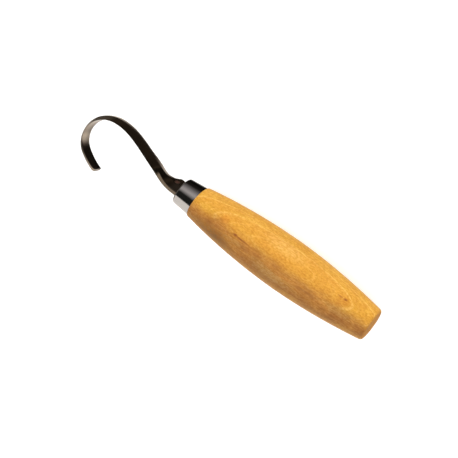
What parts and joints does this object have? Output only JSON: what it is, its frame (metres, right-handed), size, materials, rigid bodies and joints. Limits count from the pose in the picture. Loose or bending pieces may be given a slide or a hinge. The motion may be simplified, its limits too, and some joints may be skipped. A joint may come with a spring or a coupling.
{
  "type": "hook knife",
  "caption": "Woodcarving hook knife: a curled single-bevel steel hook blade with a tang, an oval steel ferrule and an oval barrel-shaped birch handle.",
  "frame": {"origin": "centre of the handle's flat butt face, on the handle's axis", "axes": "+X along the handle's axis towards the hook, +Z square to the plane that the hook is bent in, with the cutting edge on the +Z side, and +Y towards the side on which the hook's tip curls back"},
  "size_m": [0.1666, 0.0293, 0.026],
  "materials": {
    "blade_steel": "polished tool steel with fine grinding lines along the strip",
    "ferrule_steel": "polished drawn steel",
    "birch": "oiled birch, satin, golden with browner growth bands",
    "adhesive": "cured two-part adhesive, out of sight"
  },
  "bodies": {
    "root": {"hook_blade": "blade_steel", "ferrule": "ferrule_steel", "handle": "birch", "tang_bedding": "adhesive"}
  },
  "joints": []
}
